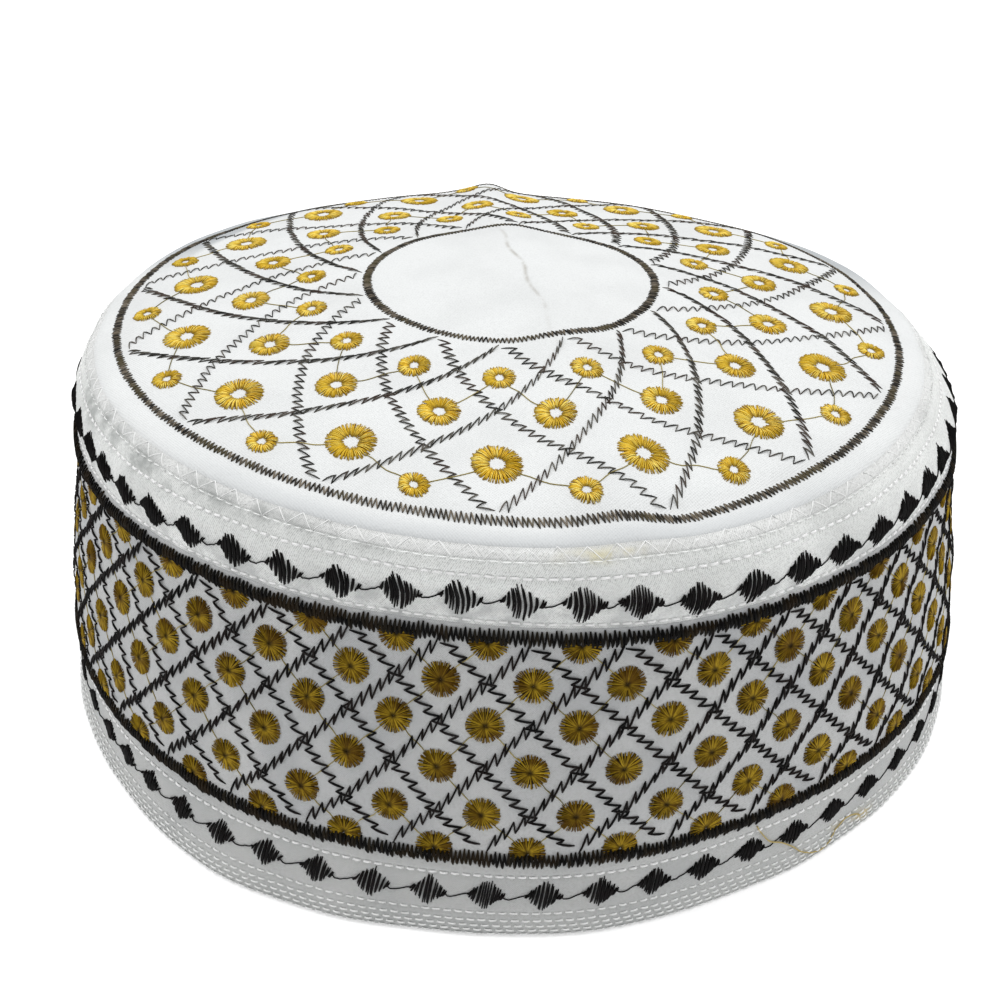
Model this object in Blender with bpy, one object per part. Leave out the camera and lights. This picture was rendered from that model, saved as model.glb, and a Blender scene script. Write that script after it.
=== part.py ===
"""An embroidered round prayer cap that stands on its hem.

The cap is five pieces of cloth, each a closed wall of its own: the domed crown, the seam strip round
it, the shoulder band, the side panel and the hem band. One formula gives the outer face of them all.
It takes a place on the cap's profile, counted in mm from the middle of the crown over the shoulder
and down to the hem, and a place round the cap, counted in turns from the front to the wearer's left.

Metres, +Z up. The front is at -Y, and the hem stands on Z = 0 with the origin in its middle.
"""

import bmesh
import bpy
import numpy as np

MM = 0.001

# Driving sizes, in mm
HEM_RADIUS = 92.6
WAIST_RADIUS = 81.2
WAIST_HEIGHT = 66.2
CROWN_HEIGHT = 85.6
CROWN_WALL = 1.5
BAND_WALL = 2.0
HEM_WALL = 2.4
GAP = 0.3
COLUMNS = 80

# The profile from the middle of the crown to the hem. crown_share says how far a ring follows the
# crown's outline, and hem_share the hem's. The rest of it follows the waist's outline.
RINGS = (
    # name, radius, height, crown_share, hem_share
    ("middle", 0.0, CROWN_HEIGHT, 1.0, 0.0),
    ("inner border", 27.9, 84.1, 1.0, 0.0),
    ("medium eyelets", 50.1, 81.0, 1.0, 0.0),
    ("large eyelets", 62.8, 79.3, 1.0, 0.0),
    ("outer border", 75.0, 77.0, 1.0, 0.0),
    ("crown edge", 80.2, 75.2, 1.0, 0.0),
    ("seam edge", 81.7, 73.5, 1.0, 0.0),
    ("shoulder", 82.2, 71.0, 0.7, 0.0),
    ("waist", WAIST_RADIUS, WAIST_HEIGHT, 0.0, 0.0),
    ("band edge", 82.1, 61.5, 0.0, 0.1),
    ("upper discs", 83.8, 51.5, 0.0, 0.25),
    ("middle discs", 86.3, 39.7, 0.0, 0.45),
    ("lower discs", 88.7, 27.1, 0.0, 0.7),
    ("panel edge", 90.2, 15.5, 0.0, 0.9),
    ("hem diamonds", 90.9, 9.4, 0.0, 1.0),
    ("hem", HEM_RADIUS, 0.0, 0.0, 1.0),
)

# The outline of a ring: waves round it as shares of its radius, how far it is moved sideways and
# backwards in mm, the soft corner that storing the cap flat has left, and how much fuller the back is.
BACK_WIDTH = 1.0
OUTLINES = {
    # outline: oval, oval_skew, egg, egg_skew, square, square_skew,
    #     side, back, corner, corner_at, corner_width, fullness
    "crown": (-0.026, 0.010, 0.010, 0.000, -0.002, 0.006, -2.3, 2.33, 0.0, 0.34, 0.30, 0.0),
    "waist": (-0.073, -0.008, 0.014, 0.003, -0.003, 0.002, -0.3, -1.17, 0.0185, 0.34, 0.30, 0.095),
    "hem": (-0.072, -0.005, 0.019, -0.007, -0.006, -0.003, -0.6, -0.27, 0.0155, 0.18, 0.25, 0.053),
}

# The ridge that folding has left across the crown, in mm and as a straight line from back to front
RIDGE_BACK_X = -12.0
RIDGE_FRONT_X = 17.5
RIDGE_BACK_HEIGHT = 1.4
RIDGE_FRONT_HEIGHT = 1.4
RIDGE_WIDTH = 7.5
RIDGE_REACH = 73.0
RIDGE_END_Y = -79.0
RIDGE_FADE = 12.0

# The small bulge where the ridge meets the back of the rim, in mm
BULGE_X = -8.7
BULGE_WIDTH = 4.2
BULGE_HEIGHT = 1.15
BULGE_START_Y = 50.0
BULGE_RISE = 16.0

# The back of the crown's rim has sunk. The slope begins at SAG_START along the profile.
SAG_START = 67.6
SAG_SOFT = 2.0
SAG_SLOPE = 0.17
SAG_FROM = 0.70
SAG_FULL = 0.99

# The hem flares out a little to the wearer's right of the front, in mm
FLARE_ANGLE = -0.52
FLARE_WIDTH = 0.30
FLARE_REACH = 1.75
FLARE_START = 143.3
FLARE_FULL = 158.0


def along_profile():
    """The rings' places along the profile in mm, and their columns of numbers."""
    rings = np.array([row[1:] for row in RINGS])
    steps = np.hypot(*np.diff(rings[:, :2], axis=0).T)
    return np.concatenate([[0.0], np.cumsum(steps)]), rings


def place(name):
    """Where on the profile a ring of RINGS lies, in mm from the middle of the crown."""
    return along_profile()[0][[row[0] for row in RINGS].index(name)]


def smooth_rings(at):
    """Radius, height and shares at places along the profile: a cubic through the rings, level at the
    middle of the crown and upright at the hem. Also the way that the profile runs there."""
    knots, rings = along_profile()
    slope = np.gradient(rings, knots, axis=0)
    slope[0] = (1.0, 0.0, 0.0, 0.0)
    slope[-1] = (0.0, -1.0, 0.0, 0.0)
    span = np.clip(np.searchsorted(knots, at, side="right") - 1, 0, len(knots) - 2)
    step = (knots[span + 1] - knots[span])[..., None]
    part = (at - knots[span])[..., None] / step
    low, high, rise, fall = rings[span], rings[span + 1], slope[span] * step, slope[span + 1] * step
    square = 3 * high - 3 * low - 2 * rise - fall
    cube = 2 * low - 2 * high + rise + fall
    value = low + part * (rise + part * (square + part * cube))
    run = (rise + part * (2 * square + part * 3 * cube)) / step
    return value, run


def bell(angle, middle, width):
    """A bell of height 1 round an angle."""
    off = (angle - middle + np.pi) % (2 * np.pi) - np.pi
    return np.exp(-((off / width) ** 2))


def outline(name, turn):
    """One outline: shares of the radius at a turn, the angle there, and how far it is moved in mm."""
    *waves, side, back, corner, corner_at, corner_width, fullness = OUTLINES[name]
    orders = list(zip((2, 3, 4), waves[0::2], waves[1::2]))
    even = 2 * np.pi * turn
    # The waves lengthen some stretches of the ring, so the angle gives way to keep the turns even.
    angle = even - sum((w * np.sin(n * even) + k * (1 - np.cos(n * even))) / n for n, w, k in orders)
    share = 1 + sum(w * np.cos(n * angle) + k * np.sin(n * angle) for n, w, k in orders)
    share = share + corner * bell(angle, corner_at, corner_width) + fullness * bell(angle, np.pi, BACK_WIDTH)
    return share, angle, side, back


def ridge(x, y):
    """Height in mm of the fold across the crown: a bell across a straight line, fading at the front,
    and the bulge at its back end."""
    back = np.clip(0.5 + 0.5 * y / RIDGE_REACH, 0, 1)
    line = RIDGE_FRONT_X + (RIDGE_BACK_X - RIDGE_FRONT_X) * back
    height = RIDGE_FRONT_HEIGHT + (RIDGE_BACK_HEIGHT - RIDGE_FRONT_HEIGHT) * back
    fade = np.clip((y - RIDGE_END_Y) / RIDGE_FADE, 0, 1)
    fold = height * fade * np.exp(-(((x - line) / RIDGE_WIDTH) ** 2))
    rise = np.clip((y - BULGE_START_Y) / BULGE_RISE, 0, 1) ** 2
    return fold + BULGE_HEIGHT * rise * np.exp(-(((x - BULGE_X) / BULGE_WIDTH) ** 2))


def sag(at, turn):
    """How far the crown has sunk in mm: a slope with a soft start, full at the back and none in front."""
    part = np.clip((0.5 - 0.5 * np.cos(2 * np.pi * turn) - SAG_FROM) / (SAG_FULL - SAG_FROM), 0, 1)
    slope = SAG_SLOPE * SAG_SOFT * np.log1p(np.exp((at - SAG_START) / SAG_SOFT))
    return slope * part**2 * (3 - 2 * part)


def flare(at, turn):
    """How far the hem stands out at one corner, in mm."""
    low = np.clip((at - FLARE_START) / (FLARE_FULL - FLARE_START), 0, 1) ** 1.5
    return FLARE_REACH * low * bell(2 * np.pi * turn, FLARE_ANGLE, FLARE_WIDTH)


def cap_face(at, turn, depth=0.0):
    """Points in mm of the face that lies a depth inside the cap's outer face."""
    at, turn = np.broadcast_arrays(np.asarray(at, float), np.asarray(turn, float))
    (radius, height, crown, hem), run = (np.moveaxis(v, -1, 0) for v in smooth_rings(at))
    length = np.hypot(run[0], run[1])
    radius = radius + depth * run[1] / length + flare(at, turn)
    height = height - depth * run[0] / length
    x = np.zeros_like(radius)
    y = np.zeros_like(radius)
    for name, weight in (("crown", crown), ("waist", 1 - crown - hem), ("hem", hem)):
        share, angle, side, back = outline(name, turn)
        x += weight * (share * radius * np.sin(angle) + side)
        y += weight * (back - share * radius * np.cos(angle))
    return np.stack([x, y, height + crown * (ridge(x, y) - sag(at, turn))], axis=-1)


def cloth(name, start, end, rows, wall, colour):
    """A closed wall of cloth round the cap, from one place on the profile to another."""
    at = np.linspace(start, end, rows)[:, None]
    turn = np.arange(COLUMNS)[None, :] / COLUMNS
    section = np.concatenate([cap_face(at, turn), cap_face(at, turn, wall)[::-1]]) * MM
    shape = bmesh.new()
    rings = [[shape.verts.new(point) for point in ring] for ring in section]
    # A disc starts at a point, so its outer and inner faces meet only along the edge.
    pairs = zip(rings, rings[1:] + (rings[:1] if start > 0 else []))
    for upper, lower in pairs:
        for column in range(COLUMNS):
            ahead = (column + 1) % COLUMNS
            shape.faces.new((upper[column], lower[column], lower[ahead], upper[ahead]))
    bmesh.ops.remove_doubles(shape, verts=shape.verts, dist=0.01 * MM)
    bmesh.ops.recalc_face_normals(shape, faces=shape.faces)
    mesh = bpy.data.meshes.new(name)
    shape.to_mesh(mesh)
    shape.free()
    mesh.shade_smooth()
    mesh.set_sharp_from_angle(angle=np.radians(40))
    mesh.materials.append(cotton(name, colour))
    piece = bpy.data.objects.new(name, mesh)
    bpy.context.scene.collection.objects.link(piece)
    return piece


def cotton(name, colour):
    """Matt woven cotton."""
    material = bpy.data.materials.new(name + "_cotton")
    material.use_nodes = True
    shader = material.node_tree.nodes["Principled BSDF"]
    shader.inputs["Base Color"].default_value = (*colour, 1.0)
    shader.inputs["Roughness"].default_value = 0.9
    shader.inputs["Metallic"].default_value = 0.0
    return material


def main():
    for item in list(bpy.data.objects):
        bpy.data.objects.remove(item)
    crown_edge, seam_edge = place("crown edge"), place("seam edge")
    band_edge, panel_edge, hem = place("band edge"), place("panel edge"), place("hem")
    half = GAP / 2
    cloth("crown", 0.0, crown_edge - half, 10, CROWN_WALL, (0.84, 0.84, 0.82))
    cloth("crown_seam", crown_edge + half, seam_edge - half, 2, BAND_WALL, (0.82, 0.82, 0.80))
    cloth("shoulder_band", seam_edge + half, band_edge - half, 5, BAND_WALL, (0.80, 0.80, 0.79))
    cloth("side_panel", band_edge + half, panel_edge - half, 6, BAND_WALL, (0.74, 0.74, 0.72))
    cloth("hem_band", panel_edge + half, hem, 4, HEM_WALL, (0.72, 0.73, 0.74))


if __name__ == "__main__":
    main()
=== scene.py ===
# %% [markdown]
# # A round embroidered prayer cap
#
# The cap is a small cloth drum that stands on its hem: a slightly domed crown, a seam strip round it,
# a shoulder band, a side panel and a hem band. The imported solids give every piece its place. This
# lesson lays finer cloth over them and sews the embroidery on, thread by thread, as real meshes.
#
# Everything is worked out with numpy from one formula for the cap's surface, so the cloth and the
# threads always agree with each other and with the solids.

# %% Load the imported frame
import bpy
import numpy as np
from mathutils import Matrix


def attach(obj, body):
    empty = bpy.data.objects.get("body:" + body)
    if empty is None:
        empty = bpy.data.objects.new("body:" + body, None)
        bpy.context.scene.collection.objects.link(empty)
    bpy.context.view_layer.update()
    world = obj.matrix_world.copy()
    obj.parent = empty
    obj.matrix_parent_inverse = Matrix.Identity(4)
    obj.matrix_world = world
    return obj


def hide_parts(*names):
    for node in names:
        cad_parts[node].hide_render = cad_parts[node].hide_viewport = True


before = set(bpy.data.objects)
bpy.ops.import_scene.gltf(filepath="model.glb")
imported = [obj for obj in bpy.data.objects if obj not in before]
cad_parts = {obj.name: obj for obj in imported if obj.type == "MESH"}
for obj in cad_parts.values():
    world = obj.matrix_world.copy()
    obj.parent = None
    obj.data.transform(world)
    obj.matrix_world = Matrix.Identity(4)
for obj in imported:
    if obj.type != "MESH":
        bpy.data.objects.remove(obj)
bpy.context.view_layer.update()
print("solids loaded:", sorted(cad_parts))

# %% [markdown]
# ## The cap's surface
#
# The whole outer face is one function of two numbers: how far along the profile a place is, in mm from
# the middle of the crown down to the hem, and how far round the cap it is, in turns from the front.
# A cubic through a list of rings gives radius and height, and three outlines give the cap its slightly
# oval, slightly squashed shape. A sculpted mesh could look the same, but then no stitch would know
# where it lies. With a formula, a stitch is just two numbers.

# %% Sizes of the rings and outlines
MM = 0.001
TAU = 2 * np.pi
HEM_RADIUS = 92.6
WAIST_RADIUS = 81.2
WAIST_HEIGHT = 66.2
CROWN_HEIGHT = 85.6
RINGS = (
    # name, radius, height, crown_share, hem_share
    ("middle", 0.0, CROWN_HEIGHT, 1.0, 0.0),
    ("inner border", 27.9, 84.1, 1.0, 0.0),
    ("medium eyelets", 50.1, 81.0, 1.0, 0.0),
    ("large eyelets", 62.8, 79.3, 1.0, 0.0),
    ("outer border", 75.0, 77.0, 1.0, 0.0),
    ("crown edge", 80.2, 75.2, 1.0, 0.0),
    ("seam edge", 81.7, 73.5, 1.0, 0.0),
    ("shoulder", 82.2, 71.0, 0.7, 0.0),
    ("waist", WAIST_RADIUS, WAIST_HEIGHT, 0.0, 0.0),
    ("band edge", 82.1, 61.5, 0.0, 0.1),
    ("upper discs", 83.8, 51.5, 0.0, 0.25),
    ("middle discs", 86.3, 39.7, 0.0, 0.45),
    ("lower discs", 88.7, 27.1, 0.0, 0.7),
    ("panel edge", 90.2, 15.5, 0.0, 0.9),
    ("hem diamonds", 90.9, 9.4, 0.0, 1.0),
    ("hem", HEM_RADIUS, 0.0, 0.0, 1.0),
)
BACK_WIDTH = 1.0
OUTLINES = {
    # outline: oval, oval_skew, egg, egg_skew, square, square_skew,
    #     side, back, corner, corner_at, corner_width, fullness
    "crown": (-0.026, 0.010, 0.010, 0.000, -0.002, 0.006, -2.3, 2.33, 0.0, 0.34, 0.30, 0.0),
    "waist": (-0.073, -0.008, 0.014, 0.003, -0.003, 0.002, -0.3, -1.17, 0.0185, 0.34, 0.30, 0.095),
    "hem": (-0.072, -0.005, 0.019, -0.007, -0.006, -0.003, -0.6, -0.27, 0.0155, 0.18, 0.25, 0.053),
}
RIDGE_BACK_X = -12.0
RIDGE_FRONT_X = 17.5
RIDGE_BACK_HEIGHT = 1.4
RIDGE_FRONT_HEIGHT = 1.4
RIDGE_WIDTH = 7.5
RIDGE_REACH = 73.0
RIDGE_END_Y = -79.0
RIDGE_FADE = 12.0
BULGE_X = -8.7
BULGE_WIDTH = 4.2
BULGE_HEIGHT = 1.15
BULGE_START_Y = 50.0
BULGE_RISE = 16.0
SAG_START = 67.6
SAG_SOFT = 2.0
SAG_SLOPE = 0.17
SAG_FROM = 0.70
SAG_FULL = 0.99
FLARE_ANGLE = -0.52
FLARE_WIDTH = 0.30
FLARE_REACH = 1.75
FLARE_START = 143.3
FLARE_FULL = 158.0
TABLE = np.array([row[1:] for row in RINGS])
KNOTS = np.concatenate([[0.0], np.cumsum(np.hypot(*np.diff(TABLE[:, :2], axis=0).T))])
SLOPE = np.gradient(TABLE, KNOTS, axis=0)
SLOPE[0] = (1.0, 0.0, 0.0, 0.0)
SLOPE[-1] = (0.0, -1.0, 0.0, 0.0)
PLACE = {row[0]: at for row, at in zip(RINGS, KNOTS)}
CROWN_EDGE, SEAM_EDGE, BAND_EDGE = PLACE["crown edge"], PLACE["seam edge"], PLACE["band edge"]
PANEL_EDGE, HEM = PLACE["panel edge"], PLACE["hem"]
print("the profile is %.1f mm long from the middle of the crown to the hem" % HEM)


# %% The surface as a function
def bell(angle, middle, width):
    """A bell of height 1 round an angle: e to the minus square of the distance over the width."""
    off = (angle - middle + np.pi) % TAU - np.pi
    return np.exp(-((off / width) ** 2))


def smooth_rings(at):
    """Radius, height and shares along the profile, and their slopes: between two rings each is the
    cubic that has the right value and slope at both."""
    span = np.clip(np.searchsorted(KNOTS, at, side="right") - 1, 0, len(KNOTS) - 2)
    step = (KNOTS[span + 1] - KNOTS[span])[..., None]
    part = (at - KNOTS[span])[..., None] / step
    low, high, rise, fall = TABLE[span], TABLE[span + 1], SLOPE[span] * step, SLOPE[span + 1] * step
    square = 3 * high - 3 * low - 2 * rise - fall
    cube = 2 * low - 2 * high + rise + fall
    value = low + part * (rise + part * (square + part * cube))
    return value, (rise + part * (2 * square + part * 3 * cube)) / step


def outline(name, turn):
    """One outline: 1 plus three waves round the ring, a soft corner and a fuller back."""
    *waves, side, back, corner, corner_at, corner_width, fullness = OUTLINES[name]
    orders = list(zip((2, 3, 4), waves[0::2], waves[1::2]))
    even = TAU * turn
    angle = even - sum((w * np.sin(n * even) + k * (1 - np.cos(n * even))) / n for n, w, k in orders)
    share = 1 + sum(w * np.cos(n * angle) + k * np.sin(n * angle) for n, w, k in orders)
    share = share + corner * bell(angle, corner_at, corner_width) + fullness * bell(angle, np.pi, BACK_WIDTH)
    return share, angle, side, back


def ridge(x, y):
    """Height of the fold across the crown: a bell across a straight line, fading at the front, and the
    small bulge at its back end."""
    back = np.clip(0.5 + 0.5 * y / RIDGE_REACH, 0, 1)
    line = RIDGE_FRONT_X + (RIDGE_BACK_X - RIDGE_FRONT_X) * back
    height = RIDGE_FRONT_HEIGHT + (RIDGE_BACK_HEIGHT - RIDGE_FRONT_HEIGHT) * back
    fade = np.clip((y - RIDGE_END_Y) / RIDGE_FADE, 0, 1)
    fold = height * fade * np.exp(-(((x - line) / RIDGE_WIDTH) ** 2))
    rise = np.clip((y - BULGE_START_Y) / BULGE_RISE, 0, 1) ** 2
    return fold + BULGE_HEIGHT * rise * np.exp(-(((x - BULGE_X) / BULGE_WIDTH) ** 2))


def sag(at, turn):
    """How far the crown's rim has sunk at the back, in mm: a slope with a soft start."""
    part = np.clip((0.5 - 0.5 * np.cos(TAU * turn) - SAG_FROM) / (SAG_FULL - SAG_FROM), 0, 1)
    slope = SAG_SLOPE * SAG_SOFT * np.log1p(np.exp((at - SAG_START) / SAG_SOFT))
    return slope * part**2 * (3 - 2 * part)


def flare(at, turn):
    """How far the hem stands out at one corner, in mm."""
    low = np.clip((at - FLARE_START) / (FLARE_FULL - FLARE_START), 0, 1) ** 1.5
    return FLARE_REACH * low * bell(TAU * turn, FLARE_ANGLE, FLARE_WIDTH)


def cap_face(at, turn, depth=0.0):
    """Points in mm of the face that lies a depth inside the cap's outer face: the profile's radius
    times each outline's share, mixed by how far the ring follows crown, waist and hem."""
    at, turn, depth = np.broadcast_arrays(*(np.asarray(v, float) for v in (at, turn, depth)))
    (radius, height, crown, hem), run = (np.moveaxis(v, -1, 0) for v in smooth_rings(at))
    length = np.hypot(run[0], run[1])
    radius = radius + depth * run[1] / length + flare(at, turn)
    height = height - depth * run[0] / length
    x = np.zeros_like(radius)
    y = np.zeros_like(radius)
    for name, weight in (("crown", crown), ("waist", 1 - crown - hem), ("hem", hem)):
        share, angle, side, back = outline(name, turn)
        x += weight * (share * radius * np.sin(angle) + side)
        y += weight * (back - share * radius * np.cos(angle))
    return np.stack([x, y, height + crown * (ridge(x, y) - sag(at, turn))], axis=-1)


RING_AT = np.linspace(0.0, HEM, 80)
around = cap_face(RING_AT[:, None], np.linspace(0, 1, 721)[None, :])
RING_LENGTH = np.linalg.norm(np.diff(around, axis=1), axis=-1).sum(axis=1)
print("round the hem: %.0f mm, round the waist: %.0f mm"
      % (RING_LENGTH[-1], np.interp(PLACE["waist"], RING_AT, RING_LENGTH)))


# %% [markdown]
# ## Steps on the surface
#
# Embroidery is drawn in small steps to the right and upwards from a place. On the crown the cloth is a
# flat disc, so a step is plain trigonometry about its middle. On the bands it is a share of the way
# round and a step along the profile.

# %% Stepping from a place
def near(at, turn, right, up):
    """The place so many mm to the right of another and above it, up being towards the crown's middle."""
    at, turn, right, up = np.broadcast_arrays(at, turn, right, up)
    on_crown = at < CROWN_EDGE
    band_turn = turn + right / np.interp(at, RING_AT, RING_LENGTH)
    crown_turn = turn + np.arctan2(right, at - up) / TAU
    return np.where(on_crown, np.hypot(right, at - up), at - up), np.where(on_crown, crown_turn, band_turn)


# %% [markdown]
# ## How the crown's embroidery has drifted
#
# The crown was embroidered flat and then pulled over the drum by hand, so its pattern is a mm or two
# out of true here and there. Slow waves round the crown, stronger towards the rim, say by how much.

# %% Drift of the crown's pattern
DRIFT_RIGHT = (-0.2, 0.4, -0.73, 0.82, 0.89, -0.09, -1.02, 1.75, 0.95, -0.91, 0.03, 0.92, -0.99, -0.4)
DRIFT_OUT = (-0.37, -0.34, 1.52, -0.02, 0.55, -0.91, -0.1, -1.03, -2.19, 2.6, 0.47, 0.09, -0.51, 0.64)
DRIFT_ORDERS = (0, 1, 1, 2, 2, 3, 3)
DRIFT_STARTS = (0, 0, 1, 0, 1, 0, 1)
DRIFT_RADIUS, DRIFT_END = 75.0, 78.5
RIM_START, RIM_RISE = 62.0, 12.0
# Two places where the rim is drawn aside: mm to the right, angle and width
RIM_PULLS = ((0.9, 0.176, 0.1), (-1.2, 0.47, 0.19))
PLEAT_TURNS = (0.036, 0.056, 0.062, 0.075, 0.089, 0.113, 0.14)
PLEAT_SHARES = (0.0, 0.9, 1.0, 0.83, 0.52, 0.15, 0.0)
PLEAT_AT, PLEAT_WIDTH, PLEAT_MM = 76.5, 4.0, 0.9


def pleat(turn):
    """How strongly the fold at the front of the rim shows, from 0 to 1: steep on one side of it."""
    return np.interp((turn + 0.5) % 1 - 0.5, PLEAT_TURNS, PLEAT_SHARES)


def settle(at, turn):
    """Where a place of the crown's pattern really lies: the sum of cosines and sines round the crown,
    each with the second and the fourth power of how far out the place is. The fold at the front of
    the rim draws the pattern in from both sides and pushes it outwards."""
    share = np.clip(at / DRIFT_RADIUS, 0, 1.1)
    waves = [np.cos(n * TAU * turn - quarter * np.pi / 2) for n, quarter in zip(DRIFT_ORDERS, DRIFT_STARTS)]
    terms = [wave * share**power for wave in waves for power in (2, 4)]
    to_right = sum(mm * term for mm, term in zip(DRIFT_RIGHT, terms))
    outward = sum(mm * term for mm, term in zip(DRIFT_OUT, terms))
    rim = np.clip((at - RIM_START) / RIM_RISE, 0, 1) ** 2
    to_right = to_right + rim * sum(mm * bell(TAU * turn, angle, width) for mm, angle, width in RIM_PULLS)
    outward = outward + rim * PLEAT_MM * pleat(turn)
    moved_at, moved_turn = np.hypot(to_right, at + outward), turn + np.arctan2(to_right, at + outward) / TAU
    on_pattern = at < DRIFT_END
    return np.where(on_pattern, moved_at, at), np.where(on_pattern, moved_turn, turn)


# %% [markdown]
# ## How stitching moves the cloth
#
# Stitches pull cotton in, and the cloth between them puffs up a little. Handling leaves it slightly
# wavy. These low forms are real, so they are geometry here: one function says how far the cloth stands
# out at any place, and both the cloth and the threads on it read it.

# %% Where the rows of stitching run, in mm along the profile
INNER_BORDER, OUTER_BORDER = 27.98, 75.7
TOPSTITCHES = (85.7, 94.6, 144.7)
HEM_ROWS = (152.7, 154.3, 155.4, 156.4, 157.3)
UPPER_SATIN, LOWER_SATIN = (95.85, 98.6), (139.1, 142.2)
PANEL_COLUMNS, PANEL_TURN = 36, -0.1031
PANEL_ROWS = (98.3, 105.75, 113.55, 122.1, 131.1, 138.8)
CROWN_COLUMNS, CROWN_TURN = 16, -0.0035
UPPER_COUNT, LOWER_COUNT = 54, 58
SEAM_MIDDLE, SEAM_ROW = 82.2, 83.2
FURROWS = (
    # place along the profile, width and depth, all in mm
    (INNER_BORDER, 1.6, 0.18), (OUTER_BORDER, 1.8, 0.22), (CROWN_EDGE, 0.5, 0.22), (SEAM_EDGE, 0.5, 0.15),
    (SEAM_MIDDLE, 0.8, 0.08),
    *((row, 0.5, 0.3) for row in TOPSTITCHES),
    *((row, 0.45, 0.2) for row in HEM_ROWS),
)
# The cloth puffs up between two rows of stitching, on the shoulder more round each diamond
SHOULDER_PUFF, HEM_PUFF, PANEL_PUFF = 0.45, 0.25, 0.3
PUFF_WAVE, PUFF_TURN = 0.35, -0.2016
PANEL_START, PANEL_END, PANEL_FADE = 97.0, 142.0, 4.0
SLOW_MM, SLOW_FULL = 0.07, 60.0
draw = np.random.default_rng(11)
WAVES = [(n, draw.uniform(18, 55), *draw.uniform(0, TAU, 2)) for n in (3, 5, 8, 11, 15, 21, 27)]


def furrow(at, middle, width, depth):
    """A narrow dip along a row of stitching: minus a bell across it."""
    return -depth * np.exp(-(((at - middle) / width) ** 2))


def relief(at, turn):
    """How far the cloth stands out, in mm: slow waves round and along the cap, dips along the rows of
    stitching and puffs between them."""
    at, turn = np.broadcast_arrays(np.asarray(at, float), np.asarray(turn, float))
    slow = sum(np.sin(n * TAU * turn + a) * np.sin(TAU * at / length + b) for n, length, a, b in WAVES)
    out = slow * SLOW_MM * np.clip(at / SLOW_FULL, 0, 1) ** 2
    out = out + sum(furrow(at, *row) for row in FURROWS)
    out = out + furrow(at, PLEAT_AT, PLEAT_WIDTH, PLEAT_MM) * pleat(turn)
    puff = np.clip((at - TOPSTITCHES[0]) / (TOPSTITCHES[1] - TOPSTITCHES[0]), 0, 1)
    wave = 1 + PUFF_WAVE * np.sin(UPPER_COUNT * TAU * (turn - PUFF_TURN))
    out = out + SHOULDER_PUFF * np.sin(np.pi * puff) * wave
    puff = np.clip((at - TOPSTITCHES[2]) / (HEM_ROWS[0] - TOPSTITCHES[2]), 0, 1)
    out = out + HEM_PUFF * np.sin(np.pi * puff)
    column = (turn - PANEL_TURN) * PANEL_COLUMNS
    row = np.interp(at, PANEL_ROWS, np.arange(6)) / 2
    cell = np.abs(np.cos(np.pi * (column + row)) * np.cos(np.pi * (column - row)))
    panel = np.clip((at - PANEL_START) / PANEL_FADE, 0, 1) * np.clip((PANEL_END - at) / PANEL_FADE, 0, 1)
    return out + PANEL_PUFF * panel * (cell - 0.4)


around = relief(RING_AT[:, None], np.linspace(0, 1, 721))
print("the cloth stands out by %.2f to %.2f mm" % (around.min(), around.max()))

# %% [markdown]
# ## The camera
#
# The photograph looks down on the front of the cap from close by, so the crown shows as a broad oval.
# The camera stands where the rings of embroidery line up with the photograph's, and it leans very
# slightly to one side.

# %% Camera
CAMERA_AT = (0.0, -0.2219, 0.1805)
CAMERA_YAW, CAMERA_DOWN, CAMERA_LEAN = -0.0149, 0.5868, 0.0252
CAMERA_LENS = 43.44
sin_yaw, cos_yaw = np.sin(CAMERA_YAW), np.cos(CAMERA_YAW)
ahead = np.array([sin_yaw * np.cos(CAMERA_DOWN), cos_yaw * np.cos(CAMERA_DOWN), -np.sin(CAMERA_DOWN)])
level = np.array([cos_yaw, -sin_yaw, 0.0])
above = np.cross(level, ahead)
right = np.cos(CAMERA_LEAN) * level + np.sin(CAMERA_LEAN) * above
above = -np.sin(CAMERA_LEAN) * level + np.cos(CAMERA_LEAN) * above
lens = bpy.data.cameras.new("camera")
lens.lens, lens.sensor_width, lens.clip_start = CAMERA_LENS, 36.0, 0.01
camera = bpy.data.objects.new("camera", lens)
bpy.context.scene.collection.objects.link(camera)
turned = np.eye(4)
turned[:3, :] = np.stack([right, above, -ahead, CAMERA_AT], axis=1)
camera.matrix_world = Matrix(turned.tolist())
bpy.context.scene.camera = camera
print("camera %.0f mm from the cap's middle" % (1000 * np.linalg.norm(np.array(CAMERA_AT) - (0, 0, 0.05))))


# %% [markdown]
# ## Shader sums in plain Python
#
# A material's nodes are easier to read as a formula. A small class wraps a node's output and turns
# plus, minus, times and divided by into Math nodes. Every other node comes from one method that takes
# its type, its settings and its sockets.

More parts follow.
